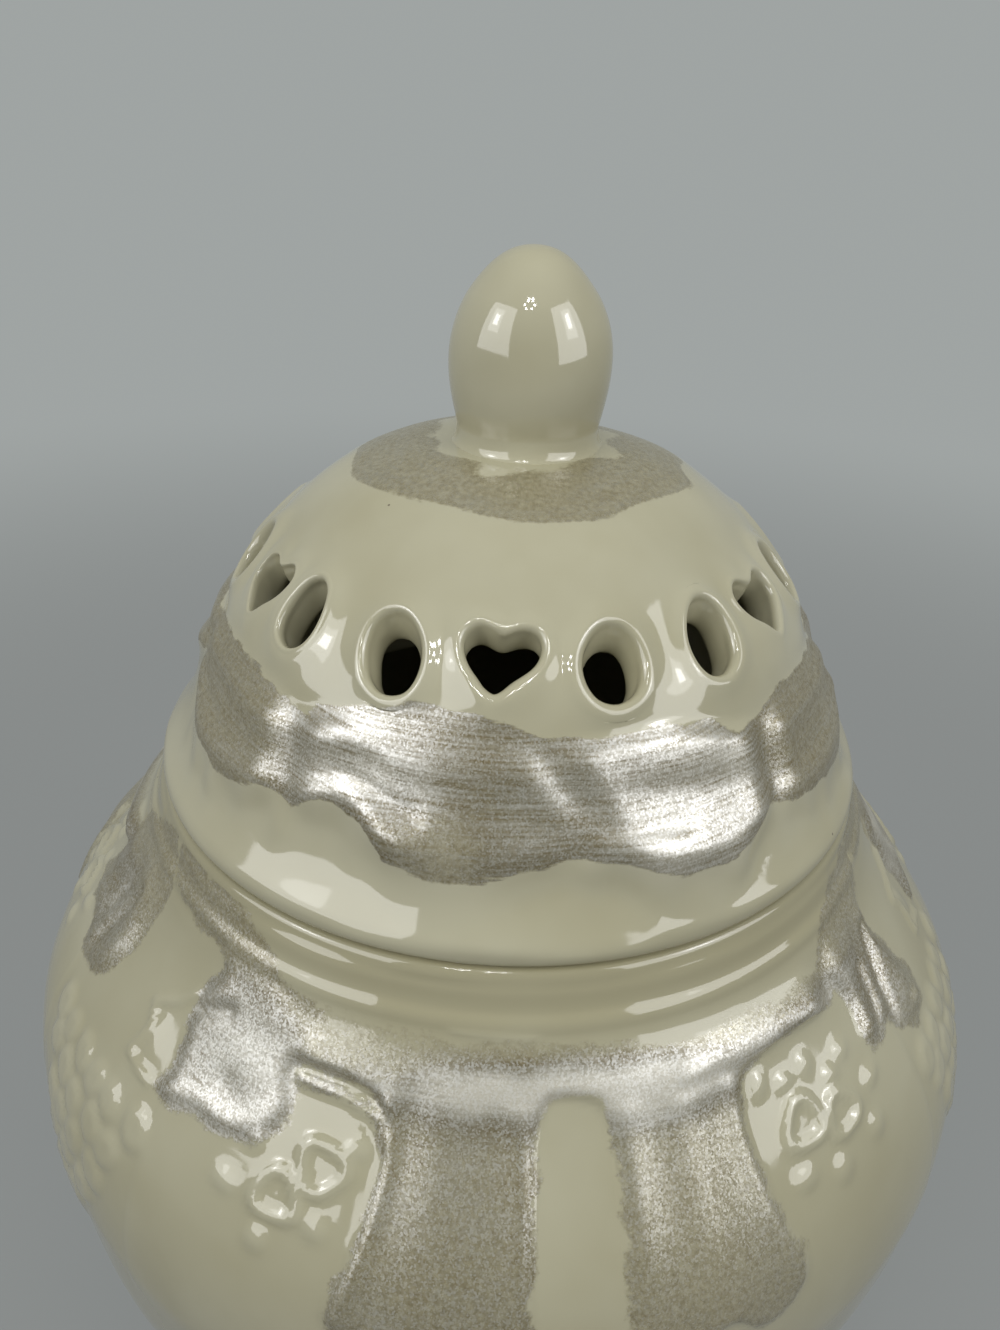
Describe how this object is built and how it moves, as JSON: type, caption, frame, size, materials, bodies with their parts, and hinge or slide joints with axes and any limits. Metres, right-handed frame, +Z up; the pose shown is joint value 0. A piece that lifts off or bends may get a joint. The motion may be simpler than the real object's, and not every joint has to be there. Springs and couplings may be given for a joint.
{
  "type": "potpourri vase",
  "caption": "Round-bellied glazed jar for potpourri, with a lift-off lid pierced with hearts and ovals, an egg knob, and raised drapery, leaves and fruit brushed with silver lustre.",
  "frame": {"origin": "centre of the foot ring, on the table", "axes": "+Z up along the jar's axis; -Y is the front that the picture shows; +X to the viewer's right"},
  "size_m": [0.1705, 0.1744, 0.2326],
  "materials": {
    "cream_glaze": "thick glossy cream glaze",
    "silver_lustre": "brushed pearly silver lustre over the glaze"
  },
  "bodies": {
    "jar": {"jar_bowl": "cream_glaze", "jar_shoulder": "cream_glaze", "swag_front": "silver_lustre", "swag_back_right": "silver_lustre", "swag_back_left": "silver_lustre", "spray_right": "silver_lustre", "spray_back": "silver_lustre", "spray_left": "silver_lustre", "fruit_right": "cream_glaze", "fruit_back": "cream_glaze", "fruit_left": "cream_glaze"},
    "lid": {"lid": "cream_glaze", "lid_knob": "cream_glaze", "lid_drapery": "silver_lustre"}
  },
  "joints": [
    {"name": "lid_lift", "type": "slide", "parent": "jar", "child": "lid", "axis": [0, 0, 1], "range_m": [0, 0.1]}
  ]
}
